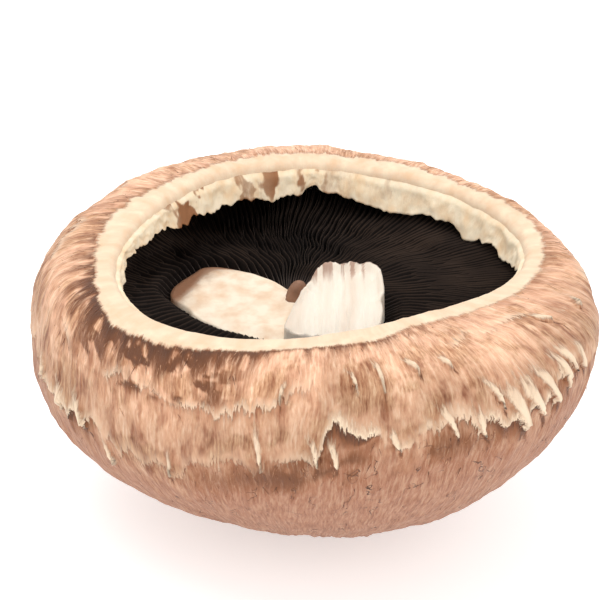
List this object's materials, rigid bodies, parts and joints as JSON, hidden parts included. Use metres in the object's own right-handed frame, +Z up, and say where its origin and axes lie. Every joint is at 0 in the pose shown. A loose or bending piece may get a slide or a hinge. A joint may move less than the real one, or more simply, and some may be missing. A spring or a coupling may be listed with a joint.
{
  "type": "portobello mushroom",
  "caption": "Large brown mushroom resting on its domed cap, rolled rim and torn veil around open dark gills, with a snapped-off pale stem in the middle.",
  "frame": {"origin": "middle of the footprint at the level of the surface the cap rests on", "axes": "+Z up through the gill opening, -Y towards the front, +X to the right"},
  "size_m": [0.1102, 0.113, 0.059],
  "materials": {
    "cap": "soft matte pinkish-brown skin with fine fibres, cream at the rolled rim",
    "gills": "dark spore-brown, matte, thin radial blades",
    "stem": "pale fibrous flesh, matte where it snapped",
    "veil": "thin cream tissue with a torn edge"
  },
  "bodies": {
    "root": {"cap": "cap", "gills": "gills", "stem": "stem", "veil": "veil"}
  },
  "joints": []
}
